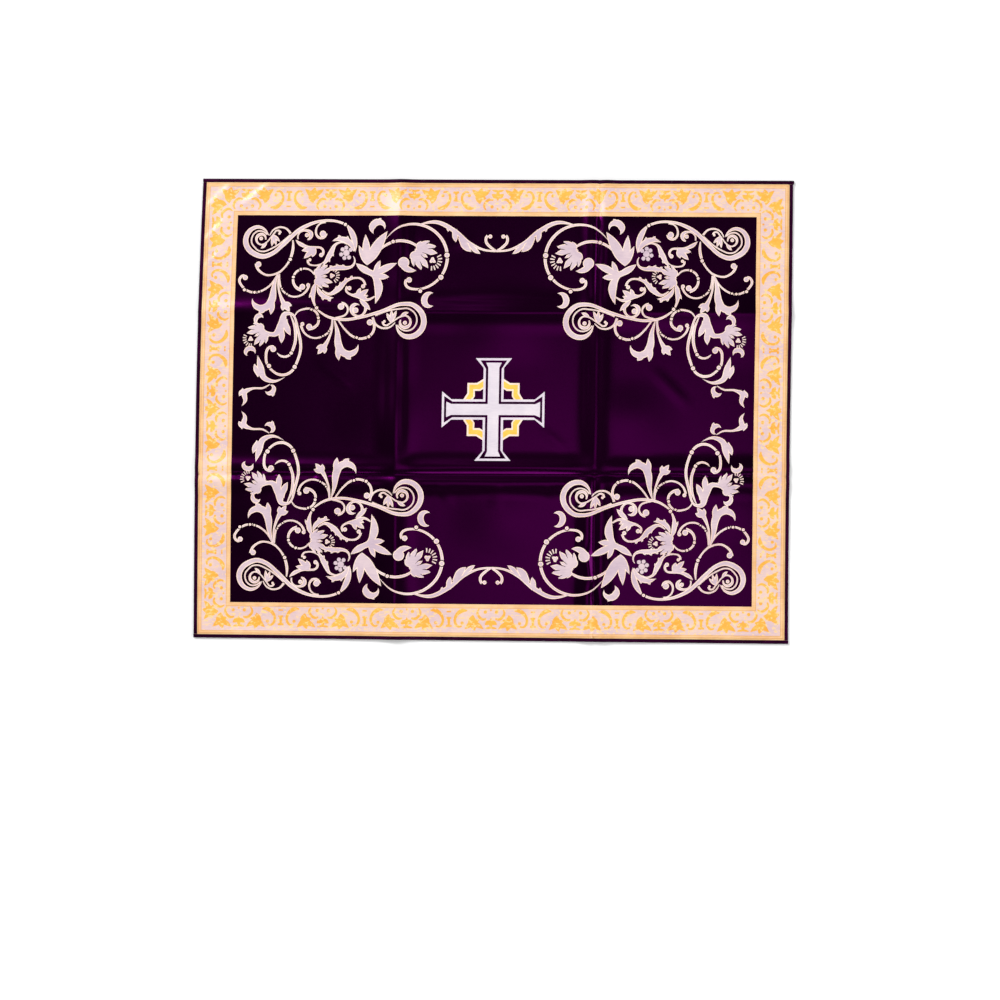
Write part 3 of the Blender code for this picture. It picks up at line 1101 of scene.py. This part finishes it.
def strip_section():
    """Rounded section of the binding as (distance in from the outer edge, height) points."""
    slot = STRIP_TALL - STRIP_WALL
    section = [(STRIP_WIDTH, STRIP_WALL), (STRIP_BACK, STRIP_WALL), (STRIP_BACK, slot), (STRIP_WIDTH, slot)]
    for back, down in ((0, 1), (0.5, 0.25), (2, 0)):
        section.append((STRIP_WIDTH - back * LIP_ROUND, STRIP_TALL - down * LIP_ROUND))
    middle = STRIP_TALL / 2
    for step in range(FOLD_STEPS + 1):
        turn = math.pi * (0.5 + step / FOLD_STEPS)
        section.append((FOLD_REACH * (1.0 + math.cos(turn)), middle * (1.0 + math.sin(turn))))
    section.append((STRIP_WIDTH, 0.0))
    return section


def binding_strip(name, length, place_of, material):
    """A length of binding along one side, place_of giving the place for a run and an inset."""
    start, end = length
    steps = math.ceil((end - start) / STRIP_STEP)
    section = strip_section()
    shape = bmesh.new()
    rings = []
    for step in range(steps + 1):
        run = start + (end - start) * step / steps
        ring = []
        for inset, height in section:
            place = place_of(run, inset)
            ring.append(shape.verts.new((*lie(*place), rise(*place) + height)))
        rings.append(ring)
    for near, far in zip(rings, rings[1:]):
        for first in range(len(section)):
            second = (first + 1) % len(section)
            shape.faces.new((near[first], near[second], far[second], far[first]))
    for ring in (rings[0], rings[-1]):
        shape.faces.new(ring)
    bmesh.ops.recalc_face_normals(shape, faces=shape.faces)
    mesh = bpy.data.meshes.new(name)
    shape.to_mesh(mesh)
    shape.free()
    mesh.materials.append(material)
    mesh.shade_smooth()
    mesh.set_sharp_from_angle(angle=SHARP_FROM)
    return add_object(name, mesh)


def binding(material):
    """The four strips, each standing for its node of the frame."""
    side_end = HALF_HEIGHT - STRIP_WIDTH - GAP
    strips = {
        "binding_top": ((-HALF_WIDTH, HALF_WIDTH + STRIP_LAP), lambda run, inset: (run, HALF_HEIGHT - inset)),
        "binding_bottom": ((-HALF_WIDTH, HALF_WIDTH), lambda run, inset: (run, inset - HALF_HEIGHT)),
        "binding_left": ((-side_end, side_end), lambda run, inset: (inset - HALF_WIDTH, run)),
        "binding_right": ((-side_end, side_end), lambda run, inset: (HALF_WIDTH - inset, run)),
    }
    for node, (length, place_of) in strips.items():
        piece = binding_strip("twill_" + node, length, place_of, material)
        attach(piece, "root")
        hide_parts(node)


def floor():
    """A plain pale floor."""
    mesh = bpy.data.meshes.new("floor")
    corners = [(x, y, 0.0) for x, y in rectangle(FLOOR_REACH, FLOOR_REACH)[:4]]
    mesh.from_pydata(corners, [], [(0, 1, 2, 3)])
    shader = Shader("pale_floor", (0.94, 0.94, 0.94), 0.9, {"Specular IOR Level": 0.1})
    mesh.materials.append(shader.material)
    add_object("floor", mesh)


def soft_light(name, location, size, energy, aim=(0.0, 0.0, 0.0)):
    """A square soft light that faces a place on the cloth."""
    light = bpy.data.lights.new(name, "AREA")
    light.shape = "SQUARE"
    light.size = size
    light.energy = energy
    lamp = add_object(name, light)
    lamp.location = location
    lamp.rotation_euler = (Vector(location) - Vector(aim)).to_track_quat("Z", "Y").to_euler()


def studio():
    """Soft light, most of it from the upper left, two weak lights for the sheen, and the camera."""
    world = bpy.data.worlds.new("studio")
    world.use_nodes = True
    background = world.node_tree.nodes["Background"].inputs
    background["Color"].default_value = (1.0, 1.0, 1.0, 1.0)
    background["Strength"].default_value = 0.08
    bpy.context.scene.world = world
    soft_light("key_light", (-2.0, 2.0, 2.7), 1.7, 136.0)
    soft_light("right_light", (2.9, 0.3, 1.9), 2.0, 64.0)
    soft_light("near_light", (0.3, -2.9, 1.9), 2.0, 60.0)
    soft_light("overhead_light", (0.27, -0.22, 3.3), 0.95, 4.3, aim=(0.27, -0.22, 0.0))
    soft_light("window_light", (-0.95, 1.85, 2.9), 1.3, 5.5)
    camera = bpy.data.cameras.new("camera")
    camera.sensor_width = 36.0
    camera.lens = 85.0
    stand = add_object("camera", camera)
    stand.location = (*VIEW_MIDDLE, VIEW_WIDTH * camera.lens / camera.sensor_width)
    bpy.context.scene.camera = stand
    bpy.context.scene.view_settings.view_transform = "Standard"


def main():
    panel = woven_panel(panel_materials())
    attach(panel, "root")
    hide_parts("panel")
    binding(binding_material())
    floor()
    studio()


main()
